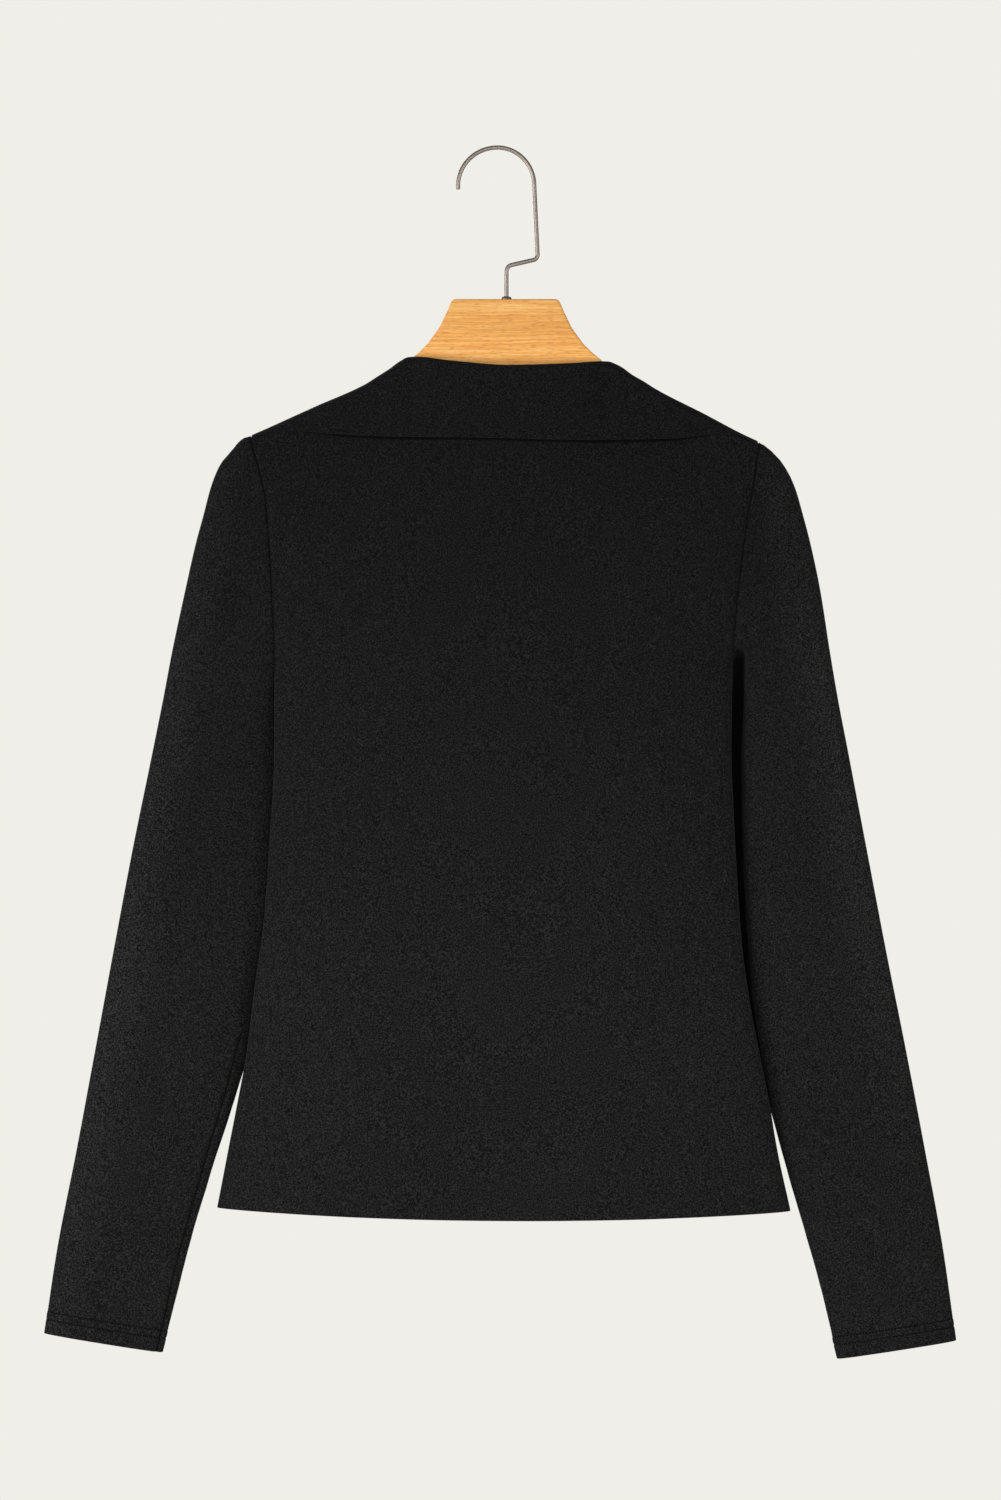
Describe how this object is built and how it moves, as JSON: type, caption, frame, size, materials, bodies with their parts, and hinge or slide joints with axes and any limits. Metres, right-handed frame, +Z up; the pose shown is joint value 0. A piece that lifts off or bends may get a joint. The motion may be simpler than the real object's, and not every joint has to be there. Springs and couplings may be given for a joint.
{
  "type": "boat neck top on a clothes hanger",
  "caption": "Fitted long-sleeve jersey top with a wide boat neck and a turned-down neckband, hung flat on a flat wooden hanger with a bent wire hook.",
  "frame": {"origin": "inner top of the hook, in the middle of the wire's width, where it rests on a rail", "axes": "+Z up; -Y is the side of the garment's back, which the picture shows; +X is to the right in that view, the wearer's right; the wood's middle plane is Y = 0"},
  "size_m": [0.666, 0.0389, 0.8856],
  "materials": {
    "jersey": "fine smooth black knit jersey with a faint heathered grain and a soft low sheen",
    "beech": "light beech with fine horizontal flecks under a satin clear coat",
    "steel": "drawn steel wire, dull with bright edges"
  },
  "bodies": {
    "root": {"back": "jersey", "front": "jersey", "collar_back": "jersey", "collar_front": "jersey", "sleeve_left": "jersey", "sleeve_right": "jersey", "hanger_bar": "beech", "hanger_hook": "steel", "hanger_ferrule": "steel"}
  },
  "joints": []
}
